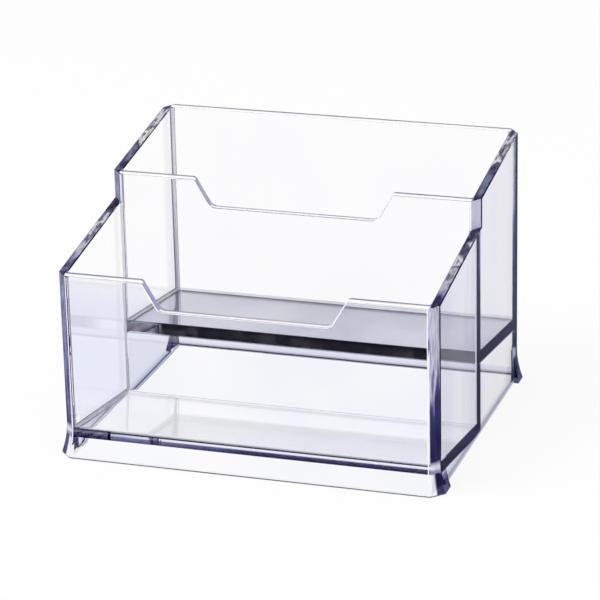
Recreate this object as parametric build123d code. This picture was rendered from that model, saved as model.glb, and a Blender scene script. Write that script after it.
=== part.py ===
from build123d import *
import os

# Two-tier holder for business cards, in clear moulded plastic. X runs across the holder, Y from the
# front to the back and Z up. The origin is on the desk, under the middle of the body. All in millimetres.

# The card that the pockets take, and the room round it
card_width = 89.0
card_height = 51.0
card_side_play = 2.1
card_rim_margin = 1.2

# Walls: every upright panel has this thickness, and the corner bevels run right across it
wall = 2.4

# Pockets, from the front to the back inside
front_pocket_depth = 37.4
rear_pocket_depth = 37.4

# Floors: each falls towards the back, and its thickness is measured upright
floor_thickness = 2.4
floor_drop = 4.6
floor_step = 14.2
floor_ground_clearance = 0.2

# Rims of the walls, above the desk
front_rim_height = 48.5
divider_rim_height = 62.5
rim_step_height = 7.5

# Thumb notches in the front panel and the divider
notch_mouth_width = 52.4
notch_base_width = 44.0
notch_depth = 7.2
notch_base_radius = 2.2
notch_mouth_radius = 1.0

# Flared foot of the walls, full height of the flare and its reach beyond the body
foot_height = 9.0
foot_flare = 1.6
foot_length = 6.0

# Share of a wall by which a floor is let into it before the wall is cut out of the floor
let_in_share = 0.3

# Places across the holder
pocket_half = card_width / 2 + card_side_play
body_half = pocket_half + wall
skirt_half = body_half - foot_length

# Places from the front to the back
front_face = -(front_pocket_depth + rear_pocket_depth + 3 * wall) / 2
front_inner = front_face + wall
divider_face = front_inner + front_pocket_depth
divider_inner = divider_face + wall
back_inner = divider_inner + rear_pocket_depth
back_face = back_inner + wall

# Heights
front_floor_low = floor_ground_clearance + floor_thickness
front_floor_high = front_floor_low + floor_drop
rear_floor_high = front_floor_high + floor_step
rear_floor_low = rear_floor_high - floor_drop
back_rim_height = rear_floor_low + card_height + card_rim_margin
step_height = divider_rim_height - rim_step_height

# The flare is an arc that leaves the upright wall without a break and kicks out towards the desk
flare_radius = (foot_height**2 + foot_flare**2) / (2 * foot_flare)
inner_flare_radius = flare_radius + wall
foot_inner_reach = flare_radius - (inner_flare_radius**2 - foot_height**2) ** 0.5


def block(low, high):
    """A plain block between two opposite corners."""
    size = [b - a for a, b in zip(low, high)]
    centre = [(a + b) / 2 for a, b in zip(low, high)]
    return Pos(*centre) * Box(*size)


def side_outline(points):
    """A solid as wide as the body, with this outline in Y and Z."""
    face = make_face(Polyline(*points, close=True))
    return extrude(Plane.YZ * face, amount=body_half, both=True)


def flare_section():
    """The wall's section over the foot height: outward distance from the body's face, and height."""
    outer = RadiusArc((0, foot_height), (foot_flare, 0), -flare_radius)
    sole = Line((foot_flare, 0), (foot_inner_reach, 0))
    inner = RadiusArc((foot_inner_reach, 0), (-wall, foot_height), inner_flare_radius)
    top = Line((-wall, foot_height), (0, foot_height))
    return make_face([outer, sole, inner, top])


def skirt():
    """The flared foot of the front panel, between its two corner feet."""
    section = Plane((0, front_face, 0), x_dir=(0, -1, 0), z_dir=(-1, 0, 0)) * flare_section()
    return extrude(section, amount=skirt_half, both=True)


def notched_plate(face_y, foot, rim):
    """An upright plate between the side panels, with a thumb notch in its rim."""
    notch_base = rim - notch_depth
    outline = Polyline(
        (-pocket_half, foot),
        (pocket_half, foot),
        (pocket_half, rim),
        (notch_mouth_width / 2, rim),
        (notch_base_width / 2, notch_base),
        (-notch_base_width / 2, notch_base),
        (-notch_mouth_width / 2, rim),
        (-pocket_half, rim),
        close=True,
    )
    face = make_face(outline)
    inside = face.vertices().filter_by(lambda v: abs(v.X) < pocket_half - wall / 2)
    face = fillet(inside.group_by(Axis.Y)[0], notch_base_radius)
    inside = face.vertices().filter_by(lambda v: abs(v.X) < pocket_half - wall / 2)
    face = fillet(inside.group_by(Axis.Y)[-1], notch_mouth_radius)
    return extrude(Plane((0, face_y, 0), x_dir=(1, 0, 0), z_dir=(0, -1, 0)) * face, amount=-wall)


def front_panel():
    return notched_plate(front_face, foot_height, front_rim_height) + skirt()


def divider_panel():
    return notched_plate(divider_face, floor_ground_clearance, divider_rim_height)


def back_panel():
    plate = block((-pocket_half, back_inner, foot_height), (pocket_half, back_face, back_rim_height))
    return plate + mirror(skirt(), about=Plane.XZ)


def bevelled_slab(front):
    """The right side wall from front to the back face, both ends bevelled across the wall."""
    plan = Polyline(
        (pocket_half, front),
        (body_half, front + wall),
        (body_half, back_face - wall),
        (pocket_half, back_face),
        close=True,
    )
    return extrude(make_face(plan), amount=back_rim_height)


def right_side_panel():
    """The stepped side wall: one slope for each tier, and a bevelled step between them."""
    rim_slope = (step_height - front_rim_height) / (divider_face - front_face)
    step_end = step_height + rim_slope * wall
    front_tier = bevelled_slab(front_face) & side_outline(
        [
            (front_face, 0),
            (front_face, front_rim_height),
            (divider_inner, step_end),
            (back_face, step_end),
            (back_face, 0),
        ]
    )
    rear_tier = bevelled_slab(divider_face) & side_outline(
        [
            (divider_face, 0),
            (divider_face, divider_rim_height),
            (back_face, back_rim_height),
            (back_face, 0),
        ]
    )
    panel = front_tier + rear_tier
    front_corner = block((0, front_face, 0), (body_half, front_face + foot_length, foot_height))
    rear_corner = block((0, back_face - foot_length, 0), (body_half, back_face, foot_height))
    return panel - front_corner - rear_corner


def front_right_foot():
    """The flared wall section swept round the bevelled corner, open to the pocket inside."""
    route = Polyline(
        (skirt_half, front_face),
        (pocket_half, front_face),
        (body_half, front_inner),
        (body_half, front_face + foot_length),
    )
    section = Plane((skirt_half, front_face, 0), x_dir=(0, -1, 0), z_dir=(-1, 0, 0)) * flare_section()
    foot = sweep(section, path=route, transition=Transition.RIGHT)
    return foot - block((0, front_inner, 0), (pocket_half, back_inner, foot_height))


def floor_plate(front, rear, high, walls):
    """A floor falling towards the back, fitted against the walls round it."""
    let_in = let_in_share * wall
    front_edge = front - let_in
    front_top = high + floor_drop * let_in / (rear - front)
    rear_top = high - floor_drop
    outline = [
        (front_edge, front_top),
        (rear, rear_top),
        (rear, rear_top - floor_thickness),
        (front_edge, front_top - floor_thickness),
    ]
    face = make_face(Polyline(*outline, close=True))
    plate = extrude(Plane.YZ * face, amount=pocket_half + let_in, both=True)
    for piece in walls:
        plate = plate - piece
    return plate


right_side = right_side_panel()
front_right = front_right_foot()
rear_right = mirror(front_right, about=Plane.XZ)

pieces = {
    "front_panel": front_panel(),
    "divider_panel": divider_panel(),
    "back_panel": back_panel(),
    "right_side_panel": right_side,
    "left_side_panel": mirror(right_side, about=Plane.YZ),
    "front_right_foot": front_right,
    "front_left_foot": mirror(front_right, about=Plane.YZ),
    "rear_right_foot": rear_right,
    "rear_left_foot": mirror(rear_right, about=Plane.YZ),
}
walls = list(pieces.values())
pieces["front_pocket_floor"] = floor_plate(front_inner, divider_face, front_floor_high, walls)
pieces["rear_pocket_floor"] = floor_plate(divider_inner, back_inner, rear_floor_high, walls)

os.makedirs("parts", exist_ok=True)
for name, piece in pieces.items():
    export_step(piece, f"parts/{name}.step")
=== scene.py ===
import math

import bmesh
import bpy
from mathutils import Matrix, Vector


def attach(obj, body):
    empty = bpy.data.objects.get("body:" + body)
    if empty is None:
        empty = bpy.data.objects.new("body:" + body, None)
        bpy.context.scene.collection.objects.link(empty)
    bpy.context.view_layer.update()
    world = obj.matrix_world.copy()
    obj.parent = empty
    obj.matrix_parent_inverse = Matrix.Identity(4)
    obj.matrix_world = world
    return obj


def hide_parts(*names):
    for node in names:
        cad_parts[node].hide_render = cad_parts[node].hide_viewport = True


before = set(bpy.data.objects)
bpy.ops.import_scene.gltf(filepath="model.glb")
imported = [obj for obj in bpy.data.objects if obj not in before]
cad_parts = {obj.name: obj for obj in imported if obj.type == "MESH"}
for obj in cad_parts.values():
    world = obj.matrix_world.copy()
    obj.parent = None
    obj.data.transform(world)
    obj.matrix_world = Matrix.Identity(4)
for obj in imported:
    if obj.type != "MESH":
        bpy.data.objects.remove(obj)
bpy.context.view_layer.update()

# Sizes of the holder in millimetres, as it is built. X runs across it, Y from the front to the back and Z up
MM = 0.001
POCKET_HALF = 46.6
BODY_HALF = 49.0
FRONT_FACE, FRONT_INNER = -41.0, -38.6
DIVIDER_FACE, DIVIDER_INNER = -1.2, 1.2
BACK_INNER, BACK_FACE = 38.6, 41.0
WALL = 2.4
FRONT_RIM, STEP_RIM, DIVIDER_RIM, BACK_RIM = 48.5, 55.0, 62.5, 69.0
FRONT_FLOOR, REAR_FLOOR, FLOOR_DROP, FLOOR_THICKNESS = 7.2, 21.4, 4.6, 2.4
NOTCH_MOUTH, NOTCH_BASE, NOTCH_DEPTH = 26.2, 22.0, 7.2
NOTCH_BASE_RADIUS, NOTCH_MOUTH_RADIUS = 2.2, 1.0
FOOT_HEIGHT, FOOT_FLARE, FOOT_LENGTH = 9.0, 1.6, 6.0
FAR = 90.0

# Each pocket: its front, its rear, and the height of its floor at the front
LOWER_POCKET = (FRONT_INNER, DIVIDER_FACE, FRONT_FLOOR)
UPPER_POCKET = (DIVIDER_INNER, BACK_INNER, REAR_FLOOR)

# What moulding adds to the plain plates: rounded inner corners, softened outer edges, a chamfer round the soles
INNER_RADIUS = 0.5
EDGE_RADIUS = 0.3
SOLE_RISE, SOLE_RUN = 0.4, 0.2
FLARE_STEPS, HOLLOW_STEPS, CORNER_STEPS, MOUTH_STEPS, EDGE_STEPS = 9, 6, 5, 4, 2

# A notch's outline turns by about 60 degrees at each corner: its rounding begins this share of a radius away
NOTCH_SETBACK = math.tan(math.radians(30))

# The outline bends by 45 degrees at each corner bevel: the flare moves the bend sideways by this share of its reach
BEVEL_MITRE = math.tan(math.pi / 8)

# Edges to be rounded: how sharply their faces meet, and the slack in millimetres round their places
MOUTH_ANGLE, EDGE_ANGLE = 0.5, math.radians(32)
NOTCH_SLACK, MOUTH_SLACK, MOUTH_REACH = 1e-4, 0.24, 1.2
FOOT_TOP_SLACK, FOOT_CORNER_SLACK, UPRIGHT_RISE = 0.01, 0.2, 0.3

# Doubled points in millimetres as drawn and in metres as cut, and the angle under which neighbours are one face
DRAWN_DOUBLE, CUT_DOUBLE, FLAT_ANGLE = 1e-5, 2e-7, math.radians(0.2)

# Where the moulding is parted into the holder's pieces. Each plate is let a little way into the wall that it meets
LET_IN = 0.3
FILLET_MARGIN, FOOT_MARGIN = 0.2, 0.6
FILLET_REACH = INNER_RADIUS + FILLET_MARGIN
UNDER_FLOOR = 0.5
PART_GAP = 0.02
PART_SIDE = POCKET_HALF - FILLET_REACH
PART_FOOT_X = BODY_HALF - FOOT_LENGTH
PART_FOOT_Y = BACK_FACE - FOOT_LENGTH - FOOT_MARGIN
PART_FOOT_Z = FOOT_HEIGHT + FOOT_MARGIN
# How far the back wall's piece reaches in front of its inner face, which sets how wide the painted shade on its
# ends and the painted band beside its left end are
BACK_END_REACH = 3.4


def new_object(name, bm):
    """A mesh object from a bmesh drawn in millimetres."""
    bmesh.ops.scale(bm, vec=(MM, MM, MM), verts=bm.verts)
    bmesh.ops.recalc_face_normals(bm, faces=bm.faces)
    mesh = bpy.data.meshes.new(name)
    bm.to_mesh(mesh)
    bm.free()
    made = bpy.data.objects.new(name, mesh)
    bpy.context.collection.objects.link(made)
    return made


def stacked(rings):
    """A closed skin over rings of equal length, the first and last one capped."""
    bm = bmesh.new()
    rows = [[bm.verts.new(p) for p in ring] for ring in rings]
    count = len(rows[0])
    for low, high in zip(rows, rows[1:]):
        for i in range(count):
            j = (i + 1) % count
            bm.faces.new((low[i], low[j], high[j], high[i]))
    bm.faces.new(reversed(rows[0]))
    bm.faces.new(rows[-1])
    bmesh.ops.remove_doubles(bm, verts=bm.verts, dist=DRAWN_DOUBLE)
    return bm


def round_off(bm, edges, reach, steps):
    """Rounds edges, starting at a distance of reach from each."""
    bmesh.ops.bevel(bm, geom=edges, offset=reach, segments=steps, profile=0.5, affect="EDGES")


def block(low, high):
    (x0, y0, z0), (x1, y1, z1) = low, high
    plan = ((x0, y0), (x1, y0), (x1, y1), (x0, y1))
    return stacked([[(x, y, z) for x, y in plan] for z in (z0, z1)])


def give_slots(made):
    """The slots of the raw moulding: plastic, and joints where a knife has cut."""
    for name in ("plastic", "joint"):
        made.data.materials.append(bpy.data.materials.get(name) or bpy.data.materials.new(name))


def knife(shape):
    """A cutting shape that leaves joint faces, in the second slot, where it cuts."""
    made = new_object("knife", shape)
    give_slots(made)
    for p in made.data.polygons:
        p.material_index = 1
    return made


def flare(z, inside=0.0):
    """How far the wall's outer face stands out at height z, or a face parallel to it further in."""
    radius = (FOOT_HEIGHT**2 + FOOT_FLARE**2) / (2 * FOOT_FLARE)
    drop = max(FOOT_HEIGHT - z, 0.0)
    return radius - math.sqrt((radius + inside) ** 2 - drop**2)


def mirrored_round(quarter):
    """A closed plan from the points of its right front quarter, given from the front to the side."""
    right = quarter + [(x, -y) for x, y in reversed(quarter)]
    return right + [(-x, y) for x, y in reversed(right)]


def envelope():
    """The holder's outside with its pockets still filled: bevelled corners and flared feet."""
    flared = [FOOT_HEIGHT * i / FLARE_STEPS for i in range(1, FLARE_STEPS + 1)]
    foot_end = -(BACK_FACE - FOOT_LENGTH)
    rings = []
    for z in [0.0, SOLE_RISE, *flared, FAR]:
        trim = 0.0 if z else SOLE_RUN
        out = flare(max(z, SOLE_RISE)) - trim
        shift = out * BEVEL_MITRE
        quarter = [
            (POCKET_HALF + shift, FRONT_FACE - out),
            (BODY_HALF + out, FRONT_INNER - shift),
            (BODY_HALF + out, foot_end),
            (BODY_HALF - trim, foot_end),
        ]
        rings.append([(x, y, z) for x, y in mirrored_round(quarter)])
    return new_object("envelope", stacked(rings))


def air_over_front_tier():
    """What lies above the front rim and in front of the bevelled step."""
    slope = (STEP_RIM - FRONT_RIM) / (DIVIDER_FACE - FRONT_FACE)
    reach = FAR - POCKET_HALF
    plan = [
        (-FAR, -FAR),
        (FAR, -FAR),
        (FAR, DIVIDER_FACE + reach),
        (POCKET_HALF, DIVIDER_FACE),
        (-POCKET_HALF, DIVIDER_FACE),
        (-FAR, DIVIDER_FACE + reach),
    ]
    low = [(x, y, FRONT_RIM + slope * (y - FRONT_FACE)) for x, y in plan]
    high = [(x, y, 2 * FAR) for x, y in plan]
    return new_object("air_front", stacked([low, high]))


def air_over_rear_tier():
    """What lies above the rear tier's sloping rim."""
    slope = (BACK_RIM - DIVIDER_RIM) / (BACK_FACE - DIVIDER_FACE)
    plan = [(-FAR, -FAR), (FAR, -FAR), (FAR, FAR), (-FAR, FAR)]
    low = [(x, y, DIVIDER_RIM + slope * (y - DIVIDER_FACE)) for x, y in plan]
    high = [(x, y, 2 * FAR) for x, y in plan]
    return new_object("air_rear", stacked([low, high]))


def pocket(front, rear, floor):
    """The inside of a pocket, with rounded corners and a floor that falls towards the back."""
    plan = [(-POCKET_HALF, front), (POCKET_HALF, front), (POCKET_HALF, rear), (-POCKET_HALF, rear)]
    low = [(x, y, floor if y == front else floor - FLOOR_DROP) for x, y in plan]
    high = [(x, y, 2 * FAR) for x, y in plan]
    bm = stacked([low, high])
    lower = [e for e in bm.edges if min(v.co.z for v in e.verts) < FAR]
    round_off(bm, lower, INNER_RADIUS, CORNER_STEPS)
    return new_object("pocket", bm)


def hollow(front, rear, floor, to_back):
    """The open space under a floor, which follows the flared foot of the front or back wall."""
    flared = [FOOT_HEIGHT * (i + 0.5) / HOLLOW_STEPS for i in range(HOLLOW_STEPS)]
    rings = []
    for z in [-WALL, *flared, FOOT_HEIGHT, FAR]:
        outer = BACK_FACE + flare(z, WALL)
        y0, y1 = (front, outer) if to_back else (-outer, rear)
        plan = ((-POCKET_HALF, y0), (POCKET_HALF, y0), (POCKET_HALF, y1), (-POCKET_HALF, y1))
        rings.append([(x, y, z) for x, y in plan])
    bm = stacked(rings)
    slope = FLOOR_DROP / (rear - front)
    cut = bmesh.ops.bisect_plane(
        bm,
        geom=bm.verts[:] + bm.edges[:] + bm.faces[:],
        plane_co=(0, front, floor - FLOOR_THICKNESS),
        plane_no=Vector((0, slope, 1)).normalized(),
        clear_outer=True,
    )
    rim = [e for e in cut["geom_cut"] if isinstance(e, bmesh.types.BMEdge)]
    bmesh.ops.contextual_create(bm, geom=rim)
    return new_object("hollow", bm)


def notch(face, inner, rim):
    """The cut that makes a thumb notch: slanting sides and rounded lower corners."""
    base = rim - NOTCH_DEPTH
    lean = (NOTCH_MOUTH - NOTCH_BASE) / NOTCH_DEPTH
    top = rim + WALL
    wide = NOTCH_BASE + lean * (top - base)
    outline = [(-NOTCH_BASE, base), (NOTCH_BASE, base), (wide, top), (-wide, top)]
    bm = stacked([[(x, y, z) for x, z in outline] for y in (face - WALL, inner + WALL)])
    lower = []
    for e in bm.edges:
        a, b = (v.co for v in e.verts)
        if a.x == b.x and max(abs(a.z - base), abs(b.z - base)) < NOTCH_SLACK:
            lower.append(e)
    round_off(bm, lower, NOTCH_BASE_RADIUS * NOTCH_SETBACK, CORNER_STEPS)
    return new_object("notch", bm)


def settled(made):
    """Puts the modifiers of an object into its mesh."""
    graph = bpy.context.evaluated_depsgraph_get()
    mesh = bpy.data.meshes.new_from_object(made.evaluated_get(graph))
    old = made.data
    made.modifiers.clear()
    made.data = mesh
    bpy.data.meshes.remove(old)


def thrown_away(made):
    old = made.data
    bpy.data.objects.remove(made)
    bpy.data.meshes.remove(old)


def combine(made, tool, operation):
    """Cuts or keeps what the tool covers, then throws the tool away."""
    step = made.modifiers.new("cut", "BOOLEAN")
    step.operation = operation
    step.solver = "EXACT"
    step.object = tool
    settled(made)
    thrown_away(tool)


def cleaned(made):
    """Joins doubled points and flat neighbouring faces."""
    bm = bmesh.new()
    bm.from_mesh(made.data)
    bmesh.ops.remove_doubles(bm, verts=bm.verts, dist=CUT_DOUBLE)
    bmesh.ops.dissolve_limit(bm, angle_limit=FLAT_ANGLE, verts=bm.verts, edges=bm.edges)
    bm.to_mesh(made.data)
    bm.free()


def rounded(made):
    """Rounds the mouths of the thumb notches, then softens the outer edges down to the feet."""
    bm = bmesh.new()
    bm.from_mesh(made.data)
    mouths = []
    for e in bm.edges:
        a, b = (v.co / MM for v in e.verts)
        across_wall = abs(a.x - b.x) < MOUTH_SLACK and abs(a.y - b.y) > WALL - MOUTH_SLACK
        at_mouth = abs(abs(a.x) - NOTCH_MOUTH) < MOUTH_REACH
        if across_wall and at_mouth and e.is_convex and e.calc_face_angle(0) > MOUTH_ANGLE:
            mouths.append(e)
    round_off(bm, mouths, NOTCH_MOUTH_RADIUS * MM * NOTCH_SETBACK, MOUTH_STEPS)
    foot_corner = BODY_HALF - FRONT_INNER - SOLE_RUN - FOOT_CORNER_SLACK
    sharp = []
    for e in bm.edges:
        ends = [v.co / MM for v in e.verts]
        high = min(p.z for p in ends) > FOOT_HEIGHT - FOOT_TOP_SLACK
        upright = abs(ends[0].z - ends[1].z) > UPRIGHT_RISE
        corner = upright and min(abs(p.x) + abs(p.y) for p in ends) > foot_corner
        if (high or corner) and e.is_convex and e.calc_face_angle(0) > EDGE_ANGLE:
            sharp.append(e)
    round_off(bm, sharp, EDGE_RADIUS * MM, EDGE_STEPS)
    bmesh.ops.recalc_face_normals(bm, faces=bm.faces)
    bm.to_mesh(made.data)
    bm.free()


moulding = envelope()
for tool in (
    air_over_front_tier(),
    air_over_rear_tier(),
    pocket(*LOWER_POCKET),
    pocket(*UPPER_POCKET),
    hollow(*LOWER_POCKET, False),
    hollow(*UPPER_POCKET, True),
    notch(FRONT_FACE, FRONT_INNER, FRONT_RIM),
    notch(DIVIDER_FACE, DIVIDER_INNER, DIVIDER_RIM),
):
    combine(moulding, tool, "DIFFERENCE")
cleaned(moulding)
rounded(moulding)
give_slots(moulding)


def foot_space(right, rear, more=0.0):
    """The space of one corner foot, widened a little where a neighbour is cut back to it."""
    x0, x1 = (PART_FOOT_X - more, FAR) if right else (-FAR, -PART_FOOT_X + more)
    y0, y1 = (PART_FOOT_Y - more, FAR) if rear else (-FAR, -PART_FOOT_Y + more)
    return block((x0, y0, -FAR), (x1, y1, PART_FOOT_Z + more))


def floor_space(front, rear, floor, more=0.0):
    """The space of a sloping floor with the rounded corners along its edges."""
    slope = FLOOR_DROP / (rear - front)
    reach = POCKET_HALF + LET_IN + more
    y0, y1 = front - LET_IN - more, rear + LET_IN + more
    plan = [(-reach, y0), (reach, y0), (reach, y1), (-reach, y1)]
    low = floor - FLOOR_THICKNESS - UNDER_FLOOR - more
    high = floor + FILLET_REACH + more
    return stacked([[(x, y, z - slope * (y - front)) for x, y in plan] for z in (low, high)])


def wall_space(y0, y1, more=0.0):
    """The space of a plate that runs across the holder, from the desk up."""
    reach = POCKET_HALF + LET_IN + more
    return block((-reach, y0 - more, -FAR), (reach, y1 + more, FAR))


def piece(name, space, *removed):
    """One piece of the holder: what of the moulding lies in a space, less the spaces of its neighbours."""
    made = bpy.data.objects.new(name, moulding.data.copy())
    bpy.context.collection.objects.link(made)
    combine(made, knife(space), "INTERSECT")
    for other in removed:
        combine(made, knife(other), "DIFFERENCE")
    made.data.name = name
    return made


front_wall = (-FAR, FRONT_INNER + FILLET_REACH)
divider_wall = (DIVIDER_FACE - FILLET_REACH, DIVIDER_INNER + FILLET_REACH)
back_wall = (BACK_INNER - BACK_END_REACH, FAR)


def side_piece(name, right):
    """A side wall, cut back round the plates, floors and feet that meet it."""
    x0, x1 = (PART_SIDE, FAR) if right else (-FAR, -PART_SIDE)
    return piece(
        name,
        block((x0, -FAR, -FAR), (x1, FAR, FAR)),
        *[wall_space(*wall, PART_GAP) for wall in (front_wall, divider_wall, back_wall)],
        *[floor_space(*level, PART_GAP) for level in (LOWER_POCKET, UPPER_POCKET)],
        *[foot_space(right, rear, PART_GAP) for rear in (False, True)],
    )


pieces = {
    "front_panel": piece(
        "clear_front_panel",
        wall_space(*front_wall),
        floor_space(*LOWER_POCKET, PART_GAP),
        *[foot_space(right, False, PART_GAP) for right in (False, True)],
    ),
    "divider_panel": piece(
        "clear_divider_panel",
        wall_space(*divider_wall),
        floor_space(*LOWER_POCKET, PART_GAP),
        floor_space(*UPPER_POCKET, PART_GAP),
    ),
    "back_panel": piece(
        "clear_back_panel",
        wall_space(*back_wall),
        floor_space(*UPPER_POCKET, PART_GAP),
        *[foot_space(right, True, PART_GAP) for right in (False, True)],
    ),
    "left_side_panel": side_piece("clear_left_side_panel", False),
    "right_side_panel": side_piece("clear_right_side_panel", True),
    "front_pocket_floor": piece("clear_front_pocket_floor", floor_space(*LOWER_POCKET)),
    "rear_pocket_floor": piece("clear_rear_pocket_floor", floor_space(*UPPER_POCKET)),
    "front_left_foot": piece(
        "clear_front_left_foot", foot_space(False, False), floor_space(*LOWER_POCKET, PART_GAP)
    ),
    "front_right_foot": piece(
        "clear_front_right_foot", foot_space(True, False), floor_space(*LOWER_POCKET, PART_GAP)
    ),
    "rear_left_foot": piece("clear_rear_left_foot", foot_space(False, True)),
    "rear_right_foot": piece("clear_rear_right_foot", foot_space(True, True)),
}
thrown_away(moulding)

# How the plastic bends and mirrors light. The side walls are seen steeply, and theirs is matched lower than that
# of acrylic, so that they mirror less of the floor. The mirror image in faces seen squarely is dimmed as well
ACRYLIC_IOR = 1.49
SIDE_WALL_IOR = 1.3
DIM_MIRROR = "#595965"

# Directions along which a finish changes
ACROSS, BACKWARDS, UPWARDS = (1, 0, 0), (0, 1, 0), (0, 0, 1)

# Painted shade: a grey strip low on the walls, its height in millimetres and its tints from the desk up
DESK_SHADE_HEIGHT = 3.4
DESK_SHADE_STOPS = [(0.0, "#8E90A0"), (0.22, "#A6A8B8"), (0.32, "#E4E5EF"), (0.7, "#ECEDF5"), (0.8, "#FFFFFF")]

# Corner bevels, painted with shade and highlights, in millimetres: how high the painted bands run, where across the
# corner and how low down the half next to the skirt is painted pale, and the heights of the painted highlight where
# the flare begins
BEVEL_BANDS = 60.0
SKIRT_HALF = (7.9, 7.3)
SKIRT_HALF_TOP = (6.0, 5.2)
FLARE_HIGHLIGHT = (5.0, 9.0)

# Left wall: it clears along a line that leans backwards by this slope, between these places in millimetres
CLEARING_SLOPE = 0.42
CLEARING = (22.0, 34.0)

# Upper floor: where the painted shade on its front end fades to clear at the left, in millimetres across the holder
UPPER_END_SHADE_FADE = (-40.0, -36.5)

# The painted shade on the divider's end reaches higher up than on those of the other walls
DIVIDER_END_SHADE_STRETCH = 1.4


def linear(code):
    """A colour written as sRGB hex, as linear red, green and blue with full cover."""
    parts = [int(code[i : i + 2], 16) / 255 for i in (1, 3, 5)]
    return [*(c / 12.92 if c <= 0.04045 else ((c + 0.055) / 1.055) ** 2.4 for c in parts), 1.0]


def add_node(tree, kind, values=None, links=None, stops=(), **settings):
    """One node with its settings, its socket values, its links and the colour stops of a ramp."""
    made = tree.nodes.new(kind)
    for key, value in settings.items():
        setattr(made, key, value)
    for key, value in (values or {}).items():
        made.inputs[key].default_value = value
    for key, source in (links or {}).items():
        tree.links.new(source, made.inputs[key])
    if stops:
        line = made.color_ramp.elements
        while len(line) < len(stops):
            line.new(0.5)
        for element, (at, code) in zip(line, stops):
            element.position, element.color = at, linear(code)
    return made


def new_material(name):
    made = bpy.data.materials.new(name)
    made.use_nodes = True
    made.node_tree.nodes.clear()
    return made, made.node_tree


def finished(tree, shader):
    add_node(tree, "ShaderNodeOutputMaterial", links={"Surface": shader.outputs[0]})


def cloud(tree, size, stretch=(1, 1, 1), detail=2.0):
    """Soft noise with features of this size in millimetres, drawn out along an axis by stretch."""
    place = add_node(tree, "ShaderNodeTexCoord")
    drawn = add_node(
        tree,
        "ShaderNodeVectorMath",
        {1: [1 / (MM * size * k) for k in stretch]},
        {0: place.outputs["Object"]},
        operation="MULTIPLY",
    )
    return add_node(
        tree,
        "ShaderNodeTexNoise",
        {"Scale": 1.0, "Detail": detail, "Roughness": 0.5},
        {"Vector": drawn.outputs[0]},
    )


def along(tree, direction, low, high, mirrored=False):
    """How far a point lies between two places in a direction, in millimetres; mirrored, alike at all corners."""
    point = add_node(tree, "ShaderNodeTexCoord").outputs["Object"]
    if mirrored:
        point = add_node(tree, "ShaderNodeVectorMath", links={0: point}, operation="ABSOLUTE").outputs[0]
    reach = add_node(tree, "ShaderNodeVectorMath", {1: direction}, {0: point}, operation="DOT_PRODUCT")
    return add_node(
        tree,
        "ShaderNodeMapRange",
        {"From Min": low * MM, "From Max": high * MM},
        {"Value": reach.outputs["Value"]},
    )


def wander(tree, place, waves, reach):
    """A place between 0 and 1, moved to and fro by noise."""
    shift = add_node(
        tree,
        "ShaderNodeMath",
        {1: reach, 2: -reach / 2},
        {0: waves.outputs["Fac"]},
        operation="MULTIPLY_ADD",
    )
    return add_node(
        tree, "ShaderNodeMath", links={0: place.outputs[0], 1: shift.outputs[0]}, operation="ADD"
    )


def banded(tree, place, waves, reach, stops):
    """Bands of colour along a place, with borders that noise moves to and fro."""
    at = wander(tree, place, waves, reach)
    return add_node(tree, "ShaderNodeValToRGB", links={0: at.outputs[0]}, stops=stops)


def desk_shaded(tree, tint):
    """Deepens a tint towards the desk: painted shade, a grey strip where the wall meets the desk."""
    height = along(tree, UPWARDS, 0.0, DESK_SHADE_HEIGHT)
    strip = add_node(tree, "ShaderNodeValToRGB", links={0: height.outputs[0]}, stops=DESK_SHADE_STOPS)
    return add_node(
        tree,
        "ShaderNodeMixRGB",
        {"Fac": 1.0},
        {"Color1": tint.outputs[0], "Color2": strip.outputs[0]},
        blend_type="MULTIPLY",
    )


def acrylic(tree, tint, clear=1.0, roughness=0.0, ior=ACRYLIC_IOR):
    """Clear acrylic with a tint from a node; less clear where light or shade is painted on as an opaque tint."""
    body = add_node(
        tree,
        "ShaderNodeBsdfPrincipled",
        {
            "Transmission Weight": clear,
            "Roughness": roughness,
            "IOR": ior,
            "Specular Tint": linear(DIM_MIRROR),
        },
        {"Base Color": tint.outputs[0]},
    )
    finished(tree, body)


def film(tree, tint):
    """Colours what is seen through it from outside, and nothing that is seen from inside the plate."""
    side = add_node(tree, "ShaderNodeNewGeometry")
    shown = add_node(
        tree,
        "ShaderNodeMix",
        {"B": linear("#FFFFFF")},
        {"Factor": side.outputs["Backfacing"], "A": tint.outputs[0]},
        data_type="RGBA",
    )
    finished(tree, add_node(tree, "ShaderNodeBsdfTransparent", links={"Color": shown.outputs["Result"]}))


def clouded_finish(name, waves, stops, clear=1.0, roughness=0.0, with_desk_shade=False):
    """Acrylic whose tint drifts in soft clouds: their size, and then their stretch and detail if need be."""
    made, tree = new_material(name)
    drift = cloud(tree, *waves)
    tint = add_node(tree, "ShaderNodeValToRGB", links={0: drift.outputs["Fac"]}, stops=stops)
    acrylic(tree, desk_shaded(tree, tint) if with_desk_shade else tint, clear, roughness)
    return made


def banded_finish(name, line, waves, reach, stops, clear=1.0, roughness=0.0, ior=ACRYLIC_IOR, with_desk_shade=False):
    """Acrylic whose tint changes in bands along a line, which is a direction and two places on it."""
    made, tree = new_material(name)
    tint = banded(tree, along(tree, *line), cloud(tree, *waves), reach, stops)
    acrylic(tree, desk_shaded(tree, tint) if with_desk_shade else tint, clear, roughness, ior)
    return made


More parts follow.
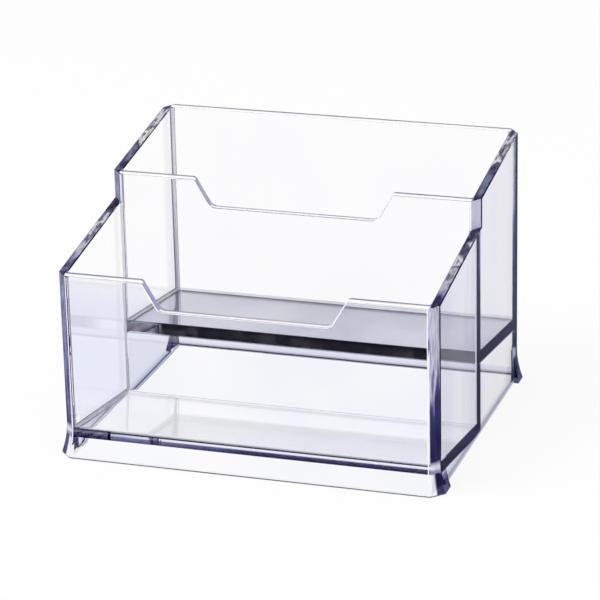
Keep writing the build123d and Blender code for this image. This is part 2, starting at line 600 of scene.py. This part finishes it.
def painted_light_rim():
    # Rim trimmed across the wall: painted light, milky white for the light that runs up inside the wall and leaves
    # it here, with a grey line of painted shade along its rear edge, where the dim room shows. The three walls
    # stand evenly spaced
    made, tree = new_material("clear_acrylic_rim_with_painted_light")
    place = add_node(tree, "ShaderNodeTexCoord")
    split = add_node(tree, "ShaderNodeSeparateXYZ", links={0: place.outputs["Object"]})
    behind = add_node(
        tree, "ShaderNodeMath", {1: -FRONT_FACE * MM}, {0: split.outputs["Y"]}, operation="ADD"
    )
    spacing = (DIVIDER_FACE - FRONT_FACE) * MM
    across = add_node(tree, "ShaderNodeMath", {1: spacing}, {0: behind.outputs[0]}, operation="MODULO")
    share = add_node(
        tree, "ShaderNodeMapRange", {"From Min": 0.0, "From Max": WALL * MM}, {"Value": across.outputs[0]}
    )
    stops = [(0.3, "#FFFFFF"), (0.55, "#F4F4FA"), (0.68, "#8C8C98"), (0.85, "#7A7A88")]
    waves = cloud(tree, size=6.0, stretch=(4, 1, 1), detail=3.0)
    tint = banded(tree, share, waves, reach=0.25, stops=stops)
    acrylic(tree, tint, clear=0.0, roughness=0.3)
    return made


def corner_bevel(name, stops):
    # Bevelled corner: painted shade, deeper indigo towards the foot, for the eye looking along the inside of the
    # wall, with painted streaks of light. Where the flare begins a painted highlight stands for its turn to the
    # light, and below that the half next to the skirt is painted pale
    made, tree = new_material(name)
    waves = cloud(tree, size=0.8, stretch=(1, 1, 14), detail=3.0)
    bands = banded(tree, along(tree, UPWARDS, 0.0, BEVEL_BANDS), waves, reach=0.9, stops=stops)
    by_skirt = along(tree, (1, -1, 0), *SKIRT_HALF, mirrored=True)
    low = along(tree, UPWARDS, *SKIRT_HALF_TOP)
    pale = add_node(
        tree, "ShaderNodeMath", links={0: by_skirt.outputs[0], 1: low.outputs[0]}, operation="MULTIPLY"
    )
    halved = add_node(
        tree,
        "ShaderNodeMixRGB",
        {"Color2": linear("#F8F8FE")},
        {"Fac": pale.outputs[0], "Color1": bands.outputs[0]},
    )
    level = wander(tree, along(tree, UPWARDS, *FLARE_HIGHLIGHT), cloud(tree, size=1.0), reach=0.15)
    cap = add_node(
        tree,
        "ShaderNodeValToRGB",
        links={0: level.outputs[0]},
        stops=[(0.1, "#000000"), (0.2, "#FFFFFF"), (0.65, "#FFFFFF"), (0.95, "#000000")],
    )
    highlight_tint = add_node(
        tree,
        "ShaderNodeValToRGB",
        links={0: level.outputs[0]},
        stops=[(0.3, "#A4A4C8"), (0.45, "#F2F2FC"), (0.7, "#E2E2F4")],
    )
    tint = add_node(
        tree,
        "ShaderNodeMixRGB",
        links={"Fac": cap.outputs[0], "Color1": halved.outputs[0], "Color2": highlight_tint.outputs[0]},
    )
    acrylic(tree, tint, clear=0.25, roughness=0.05)
    return made


def foot_flare(name, stops, clear=1.0, roughness=0.0):
    # Flared side of a corner foot: painted shade, indigo like the bevel, for the eye looking through the depth of
    # the corner
    return banded_finish(
        name,
        line=(UPWARDS, 0.0, FOOT_HEIGHT),
        waves=(0.8, (1, 1, 14), 3.0),
        reach=0.25,
        stops=stops,
        clear=clear,
        roughness=roughness,
    )


def wall_end(name, height, stops):
    # Where a wall runs on into the side wall: a film of painted shade, deeper towards the desk, for the dark seen
    # when looking into its end
    made, tree = new_material(name)
    waves = cloud(tree, size=3.0, stretch=(1, 1, 5), detail=3.0)
    film(tree, banded(tree, along(tree, UPWARDS, 0.0, height), waves, reach=0.45, stops=stops))
    return made


def over_floor(stops):
    """Stops in millimetres over a floor's upper face, as shares of the height that its film takes up."""
    below = FLOOR_THICKNESS + UNDER_FLOOR
    return [((at + below) / (below + FILLET_REACH), code) for at, code in stops]


def floor_end(name, front, rear, floor, stops, left_stops=None, fade=None):
    # A film of painted shade on the end of a floor, as on a wall's end, for the dark seen when looking into it. The
    # bands follow the height over the floor's upper face, and with left_stops they turn lighter towards its left
    # end
    made, tree = new_material(name)
    slope = FLOOR_DROP / (rear - front)
    top = floor + slope * front
    level = along(tree, (0, slope, 1), top - FLOOR_THICKNESS - UNDER_FLOOR, top + FILLET_REACH)
    heights = {0: level.outputs[0]}
    tint = add_node(tree, "ShaderNodeValToRGB", links=heights, stops=over_floor(stops))
    if left_stops:
        left_tint = add_node(tree, "ShaderNodeValToRGB", links=heights, stops=over_floor(left_stops))
        at = wander(tree, along(tree, ACROSS, *fade), cloud(tree, size=4.0), reach=0.2)
        tint = add_node(
            tree,
            "ShaderNodeMixRGB",
            links={"Fac": at.outputs[0], "Color1": left_tint.outputs[0], "Color2": tint.outputs[0]},
        )
    film(tree, tint)
    return made


def floor_left_side(name, front, rear, stops):
    # Left side of a floor, where light from inside the plate ends: painted light and shade, opaque lavender and
    # indigo patches along it
    return banded_finish(
        name,
        line=(BACKWARDS, front, rear),
        waves=(3.0, (1, 1, 2)),
        reach=0.12,
        stops=stops,
        clear=0.0,
        roughness=0.3,
    )


def step_bevel(name, stops):
    # Bevel at the step, short: painted light in lavender where it is lit from the front, painted shade in indigo
    # where it faces away
    return clouded_finish(name, (3.0, (1, 1, 3)), stops, clear=0.2, roughness=0.1)


def wetted_sole():
    # Flat sole on the desk: wetted by contact, so the pale desk shows straight through
    made, tree = new_material("clear_acrylic_sole")
    drift = cloud(tree, size=10.0)
    stops = [(0.3, "#FCFCFF"), (0.7, "#F4F4FA")]
    tint = add_node(tree, "ShaderNodeValToRGB", links={0: drift.outputs["Fac"]}, stops=stops)
    finished(tree, add_node(tree, "ShaderNodeBsdfTransparent", links={"Color": tint.outputs[0]}))
    return made


def bonded():
    # Solvent-bonded joint: the two faces run together and nothing shows
    made, tree = new_material("bonded_joint")
    finished(tree, add_node(tree, "ShaderNodeBsdfTransparent", {"Color": linear("#FFFFFF")}))
    return made


front_to_back = (BACKWARDS, FRONT_FACE, BACK_FACE)
polished_tints = [(0.35, "#FFFFFF"), (0.75, "#FDFDFF")]

# Off a polished mould: nearly colourless, with the faintest lavender clouds from the bluing toner
walls = clouded_finish("clear_acrylic_polished", (30.0,), polished_tints)

# The back wall: as clear as the others, with a grey strip of painted shade where it meets the desk
back_clear = clouded_finish("clear_acrylic_back_wall", (30.0,), polished_tints, with_desk_shade=True)

# The front wall, moulded with its skirt: a bluish cast that drifts across the panel
front_clear = clouded_finish("clear_acrylic_front_wall", (35.0,), [(0.35, "#FEFEFF"), (0.7, "#F5F7FD")])

# The right side wall, seen aslant: upright flow streaks of lavender, thicker in the front tier, and a grey strip of
# painted shade where it meets the desk
right_clear = banded_finish(
    "clear_acrylic_side_wall",
    line=front_to_back,
    waves=(5.0, (1, 1, 9)),
    reach=0.45,
    stops=[
        (0.1, "#EDEFF8"),
        (0.3, "#FCFDFF"),
        (0.42, "#EBEDF7"),
        (0.52, "#FFFFFF"),
        (0.66, "#FCFCFF"),
        (0.8, "#FFFFFF"),
    ],
    ior=SIDE_WALL_IOR,
    with_desk_shade=True,
)

# The left side wall, seen through the pockets: lavender low down in front that clears upwards and to the back, and
# a grey strip of painted shade where it meets the desk
left_clear = banded_finish(
    "clear_acrylic_left_wall",
    line=((0, CLEARING_SLOPE, 1), *CLEARING),
    waves=(18.0,),
    reach=0.3,
    stops=[(0.1, "#F0F2FB"), (0.5, "#F4F6FD"), (0.8, "#FFFFFF")],
    ior=SIDE_WALL_IOR,
    with_desk_shade=True,
)

# Left wall where the back wall runs into it: painted shade, a soft lavender band that deepens downwards
corner_band = banded_finish(
    "clear_acrylic_rear_left_corner_painted_shade",
    line=(UPWARDS, REAR_FLOOR, BACK_RIM),
    waves=(12.0, (1, 1, 2)),
    reach=0.25,
    stops=[(0.1, "#DCDFEA"), (0.6, "#E6E8F1"), (0.95, "#FAFAFD")],
)

# Painted reflection: the upper floor is tinted grey for the dim room that it mirrors above it
upper_floor_painted_reflection = clouded_finish("clear_acrylic_smoky", (25.0,), [(0.3, "#C9CBD6"), (0.7, "#AEB1BF")])

# Sloping rim seen along the length of the side wall: painted shade in dark indigo, with painted highlights in
# streaks where it would catch the light
side_rim = banded_finish(
    "clear_acrylic_flamed_rim",
    line=front_to_back,
    waves=(1.6, (1, 3.5, 1), 4.0),
    reach=0.4,
    stops=[
        (0.03, "#34335E"),
        (0.10, "#7E7FA8"),
        (0.20, "#D2D3E2"),
        (0.27, "#55557C"),
        (0.32, "#FFFFFF"),
        (0.38, "#6E6E92"),
        (0.45, "#17162C"),
        (0.52, "#3A3964"),
        (0.62, "#8A8AAE"),
        (0.72, "#33325A"),
        (0.78, "#FFFFFF"),
        (0.83, "#1A1930"),
        (0.90, "#F4F4FC"),
        (0.96, "#4A4A70"),
    ],
    clear=0.25,
    roughness=0.06,
)

# Slanting side of a thumb notch, cut square across the wall: painted light, lavender for the light inside it
notch_side = clouded_finish(
    "clear_acrylic_notch_side_painted_light", (4.0, (1, 3, 1)), [(0.3, "#C4C5E6"), (0.7, "#A2A3D0")], clear=0.1, roughness=0.2
)

# Edge that meets the desk: a thin grey line of painted shade
desk_edge = clouded_finish(
    "clear_acrylic_ground_edge_painted_shade", (10.0, (3, 3, 1)), [(0.3, "#4C4C54"), (0.7, "#7C7C86")], clear=0.1, roughness=0.2
)

# Rounded inner corner: painted light, a milky lavender for the light of the walls round it that it gathers
inner_corner = clouded_finish(
    "clear_acrylic_inner_corner_painted_light", (5.0, (1, 1, 4)), [(0.3, "#FFFFFF"), (0.7, "#ECECF8")], clear=0.0, roughness=0.3
)

rim, sole, bond = painted_light_rim(), wetted_sole(), bonded()
right_step = step_bevel("clear_acrylic_right_step_painted_light", [(0.3, "#DFE0F6"), (0.7, "#C6C8E8")])
left_step = step_bevel("clear_acrylic_left_step_painted_shade", [(0.3, "#6A6A92"), (0.5, "#9C9DC4"), (0.7, "#4A4A74")])
right_bevel = corner_bevel(
    "clear_acrylic_right_bevel_painted_light_and_shade",
    [
        (0.0, "#1E1D46"),
        (0.28, "#3C3B70"),
        (0.43, "#55548A"),
        (0.54, "#B4B5D8"),
        (0.6, "#ECECF8"),
        (0.69, "#B0B1CE"),
        (0.77, "#F0F0FA"),
        (0.86, "#A6A7C8"),
        (0.95, "#E4E4F2"),
    ],
)
left_bevel = corner_bevel(
    "clear_acrylic_left_bevel_painted_light_and_shade",
    [
        (0.0, "#2A2958"),
        (0.25, "#45447C"),
        (0.45, "#8E8FBC"),
        (0.55, "#55548A"),
        (0.7, "#A4A5CC"),
        (0.8, "#5E5D8E"),
        (0.95, "#7A7AA6"),
    ],
)
front_flare = foot_flare(
    "clear_acrylic_front_foot_flare_painted_shade",
    [(0.3, "#1A1940"), (0.5, "#3A3970"), (0.62, "#C8C9E2"), (0.74, "#EEF0F9")],
)
foot_flares = {
    "front_left_foot": front_flare,
    "front_right_foot": front_flare,
    "rear_right_foot": foot_flare(
        "clear_acrylic_rear_foot_flare_painted_shade",
        [(0.2, "#14132E"), (0.5, "#33326A"), (0.75, "#6A6A9E"), (0.95, "#9A9BC4")],
    ),
    "rear_left_foot": foot_flare(
        "clear_acrylic_far_foot_flare_painted_shade",
        [(0.1, "#4A4982"), (0.5, "#9C9CC6"), (0.9, "#DCDDEE")],
        clear=0.25,
        roughness=0.05,
    ),
}
# Painted shade on the ends of the walls that face right: deep indigo low down, paler higher up
end_shade_stops = [(0.1, "#16153C"), (0.4, "#2E2D62"), (0.6, "#8C8DBC"), (0.72, "#E6E6F6")]
wall_ends = {
    "front_panel": wall_end("clear_acrylic_front_wall_end_painted_shade", FRONT_RIM, end_shade_stops),
    "divider_panel": wall_end("clear_acrylic_divider_end_painted_shade", DIVIDER_END_SHADE_STRETCH * DIVIDER_RIM, end_shade_stops),
    "back_panel": wall_end("clear_acrylic_back_wall_end_painted_shade", BACK_RIM, end_shade_stops),
}
# The ends that face left get a paler painted shade
left_end = wall_end("clear_acrylic_left_end_painted_shade", BACK_RIM, [(0.2, "#C8C9E2"), (0.8, "#E8E9F5")])
# Front ends of the floors: films of painted shade in dark bands, lighter towards the left end
floor_ends = {
    "front_pocket_floor": floor_end(
        "clear_acrylic_lower_floor_end_painted_shade",
        *LOWER_POCKET,
        [
            (-2.7, "#F4F4FC"),
            (-2.4, "#16162E"),
            (-1.2, "#4B4A74"),
            (-0.9, "#F0F0FA"),
            (-0.4, "#F0F0FA"),
            (-0.1, "#2A2A40"),
            (0.3, "#F4F4FC"),
        ],
        [
            (-2.7, "#F4F4FC"),
            (-2.4, "#5A598C"),
            (-1.2, "#9A99C0"),
            (-0.9, "#F0F0FA"),
            (-0.4, "#F0F0FA"),
            (-0.1, "#3A3A58"),
            (0.3, "#F4F4FC"),
        ],
        (-POCKET_HALF, 0.0),
    ),
    "rear_pocket_floor": floor_end(
        "clear_acrylic_upper_floor_end_painted_shade",
        *UPPER_POCKET,
        [(-2.7, "#E4E4F0"), (-2.4, "#0E0E16"), (0.3, "#0C0C12"), (0.7, "#3A3A58"), (1.0, "#E8E8F4")],
        [(-2.7, "#E4E4F0"), (-2.4, "#FFFFFF"), (0.3, "#FFFFFF"), (0.7, "#8A8AB0"), (1.0, "#E8E8F4")],
        UPPER_END_SHADE_FADE,
    ),
}
# Right sides of the floors: films of painted shade in deep indigo bands
floor_right_sides = {
    "front_pocket_floor": floor_end(
        "clear_acrylic_lower_floor_side_painted_shade",
        *LOWER_POCKET,
        [(-2.8, "#E4E4F0"), (-2.5, "#1E1D4A"), (0.3, "#2A295A"), (0.6, "#7C7CA6"), (0.8, "#F0F0FA")],
    ),
    "rear_pocket_floor": floor_end(
        "clear_acrylic_upper_floor_side_painted_shade",
        *UPPER_POCKET,
        [(-2.8, "#E4E4F0"), (-2.5, "#0C0B20"), (0.7, "#0C0B20"), (1.0, "#4A4A70"), (1.1, "#E8E8F4")],
    ),
}
floor_left_sides = {
    "front_pocket_floor": floor_left_side(
        "clear_acrylic_lower_floor_left_painted_light_and_shade",
        *LOWER_POCKET[:2],
        [(0.1, "#6E6DA6"), (0.4, "#8A8ABC"), (0.7, "#B4B5DA")],
    ),
    "rear_pocket_floor": floor_left_side(
        "clear_acrylic_upper_floor_left_painted_light_and_shade",
        *UPPER_POCKET[:2],
        [(0.1, "#4A4982"), (0.35, "#B4B5DA"), (0.55, "#4E4D88"), (0.75, "#A2A3CE"), (0.95, "#5A5992")],
    ),
}

# How squarely a face looks along an axis, by its normal's share of that axis
SQUARELY, HALFWAY, HARDLY, TURNING = 0.9, 0.6, 0.3, 0.15
NEARLY_LEVEL, UNDERCUT = 0.98, 0.2

# Slack in millimetres round the places that tell faces apart, and the angle at which shading breaks
SOLE_SLACK, POCKET_SLACK, BODY_SLACK = 0.1, 0.05, 0.1
SHADING_BREAK = math.radians(50)


def look(kind, centre, normal, joint):
    """The surface of one face, from its piece, its place in millimetres and where it faces."""
    across, deep = abs(normal.x), abs(normal.y)
    to_right = normal.x > 0
    is_floor, is_side = "floor" in kind, "side" in kind
    if joint:
        if is_floor and across > SQUARELY:
            return (floor_right_sides if to_right else floor_left_sides)[kind]
        if is_floor and normal.y < -SQUARELY:
            return floor_ends[kind]
        if kind in wall_ends and across > SQUARELY and centre.z > FOOT_HEIGHT:
            return wall_ends[kind] if to_right else left_end
        return bond
    if centre.z > FRONT_RIM - NOTCH_DEPTH - WALL and normal.z > HARDLY:
        if not is_side and deep < HARDLY:
            return notch_side if across > HALFWAY else rim
        if max(across, deep) < HARDLY:
            return side_rim
    if centre.z < SOLE_SLACK and normal.z < -SQUARELY:
        return sole
    outside = max(
        abs(centre.x) - BODY_HALF,
        abs(centre.y) - BACK_FACE,
        abs(centre.x) + abs(centre.y) - BODY_HALF - BACK_INNER,
    )
    if centre.z < SOLE_RISE and normal.z < -UNDERCUT and outside > -SOLE_RUN:
        return desk_edge
    if is_floor and TURNING < normal.z < NEARLY_LEVEL and across > TURNING:
        return inner_corner
    in_pocket = abs(centre.x) < POCKET_HALF + POCKET_SLACK
    if in_pocket and abs(normal.z) < HARDLY and min(across, deep) > TURNING:
        return inner_corner
    # Lit and shaded copies: faces looking right get the lighter painted bevel or step, faces looking left the
    # darker one
    if min(across, deep) > HALFWAY:
        if abs(centre.y) < WALL and centre.z > STEP_RIM - WALL:
            return right_step if to_right else left_step
        return right_bevel if to_right else left_bevel
    if kind in foot_flares and abs(centre.x) > BODY_HALF - BODY_SLACK and abs(normal.z) < SQUARELY:
        return foot_flares[kind]
    if kind == "rear_pocket_floor":
        return upper_floor_painted_reflection
    if is_side and across > SQUARELY:
        return right_clear if centre.x > 0 else left_clear
    if kind == "back_panel" and normal.x > SQUARELY and centre.x < 0:
        return corner_band
    if kind.startswith("front") and not is_floor:
        return front_clear
    return back_clear if kind in ("back_panel", "rear_left_foot", "rear_right_foot") else walls


for name, made in pieces.items():
    mesh = made.data
    chosen = [look(name, p.center / MM, p.normal, p.material_index == 1) for p in mesh.polygons]
    used = list(dict.fromkeys(chosen))
    mesh.materials.clear()
    for m in used:
        mesh.materials.append(m)
    for p, m in zip(mesh.polygons, chosen):
        p.material_index = used.index(m)
        p.use_smooth = True
    mesh.set_sharp_from_angle(angle=SHADING_BREAK)
    step = made.modifiers.new("even_normals", "WEIGHTED_NORMAL")
    step.keep_sharp = True
    step.weight = 100
    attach(made, "root")
    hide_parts(name)

# Stage, in metres: a pale floor a hair under the soles, soft light from above and a white surround
FLOOR_REACH, FLOOR_SINK = 4.0, 0.05 * MM
PAPER, MIRRORED_PAPER = "#F9F9F9", "#9090B5"
PLAIN_SEEN, PLAIN_THROUGH = 0.9, 0.97
SURROUND = [(0.30, "#FFFFFF"), (0.62, "#2C2B45")]
LAMP_AIM = Vector((0, 0, 0.03))

# Matt paper: white to the eye and through the plastic, where the rest of the share keeps the shadow, and a painted
# reflection where the plastic mirrors it: dimmer and lavender, for a dim room
paper, tree = new_material("matt_paper_floor")
path = add_node(tree, "ShaderNodeLightPath")
through = add_node(
    tree, "ShaderNodeMath", {1: PLAIN_THROUGH}, {0: path.outputs["Is Transmission Ray"]}, operation="MULTIPLY"
)
straight = add_node(
    tree, "ShaderNodeMath", {1: PLAIN_SEEN}, {0: path.outputs["Is Camera Ray"]}, operation="MULTIPLY"
)
share = add_node(
    tree, "ShaderNodeMath", links={0: through.outputs[0], 1: straight.outputs[0]}, operation="MAXIMUM"
)
shade = add_node(
    tree,
    "ShaderNodeMix",
    {"A": linear(PAPER), "B": linear(MIRRORED_PAPER)},
    {"Factor": path.outputs["Is Glossy Ray"]},
    data_type="RGBA",
)
lit = add_node(tree, "ShaderNodeBsdfDiffuse", links={"Color": shade.outputs["Result"]})
glow = add_node(tree, "ShaderNodeEmission", {"Color": linear("#FFFFFF"), "Strength": 1.0})
both = add_node(
    tree, "ShaderNodeMixShader", links={0: share.outputs[0], 1: lit.outputs[0], 2: glow.outputs[0]}
)
finished(tree, both)
bm = bmesh.new()
bmesh.ops.create_grid(bm, x_segments=1, y_segments=1, size=FLOOR_REACH)
mesh = bpy.data.meshes.new("floor")
bm.to_mesh(mesh)
bm.free()
floor = bpy.data.objects.new("floor", mesh)
bpy.context.collection.objects.link(floor)
floor.location.z = -FLOOR_SINK
mesh.materials.append(paper)

world = bpy.data.worlds.new("studio")
bpy.context.scene.world = world
world.use_nodes = True
tree = world.node_tree
tree.nodes.clear()
path = add_node(tree, "ShaderNodeLightPath")
place = add_node(tree, "ShaderNodeTexCoord")
split = add_node(tree, "ShaderNodeSeparateXYZ", links={0: place.outputs["Generated"]})
fall = add_node(tree, "ShaderNodeValToRGB", links={0: split.outputs["Z"]}, stops=SURROUND)
dome = add_node(tree, "ShaderNodeBackground", {"Strength": 1.0}, {"Color": fall.outputs[0]})
plain = add_node(tree, "ShaderNodeBackground", {"Color": linear("#FFFFFF"), "Strength": 1.0})
both = add_node(
    tree,
    "ShaderNodeMixShader",
    links={0: path.outputs["Is Camera Ray"], 1: dome.outputs[0], 2: plain.outputs[0]},
)
add_node(tree, "ShaderNodeOutputWorld", links={"Surface": both.outputs[0]})


def softbox(name, place, size, watts):
    """A soft lamp aimed at the middle of the holder."""
    lamp = bpy.data.lights.new(name, "AREA")
    lamp.size, lamp.energy = size, watts
    made = bpy.data.objects.new(name, lamp)
    bpy.context.collection.objects.link(made)
    made.location = place
    made.rotation_euler = (LAMP_AIM - made.location).to_track_quat("-Z", "Y").to_euler()


softbox("key_softbox", place=(-0.7, -0.6, 1.3), size=1.0, watts=16.5)
softbox("top_softbox", place=(0.2, 0.3, 1.5), size=1.2, watts=5.6)
softbox("fill_softbox", place=(0.9, -0.9, 0.8), size=1.2, watts=5.0)

# Camera, from the photograph's viewing angle: angles in radians, place in metres, lens in millimetres
yaw, pitch, roll = 0.3173, 0.3577, -0.0231
camera_place = (0.2261765, -0.6852351, 0.3014224)
ahead = Vector((-math.sin(yaw) * math.cos(pitch), math.cos(yaw) * math.cos(pitch), -math.sin(pitch)))
level = Vector((math.cos(yaw), math.sin(yaw), 0))
upright = level.cross(ahead)
right = math.cos(roll) * level + math.sin(roll) * upright
up = -math.sin(roll) * level + math.cos(roll) * upright
camera = bpy.data.cameras.new("camera")
camera.lens, camera.sensor_width = 180.0, 36.0
camera_object = bpy.data.objects.new("camera", camera)
bpy.context.collection.objects.link(camera_object)
turn = Matrix((right, up, -ahead)).transposed().to_4x4()
camera_object.matrix_world = Matrix.Translation(camera_place) @ turn
bpy.context.scene.camera = camera_object
bpy.context.scene.view_settings.view_transform = "Standard"
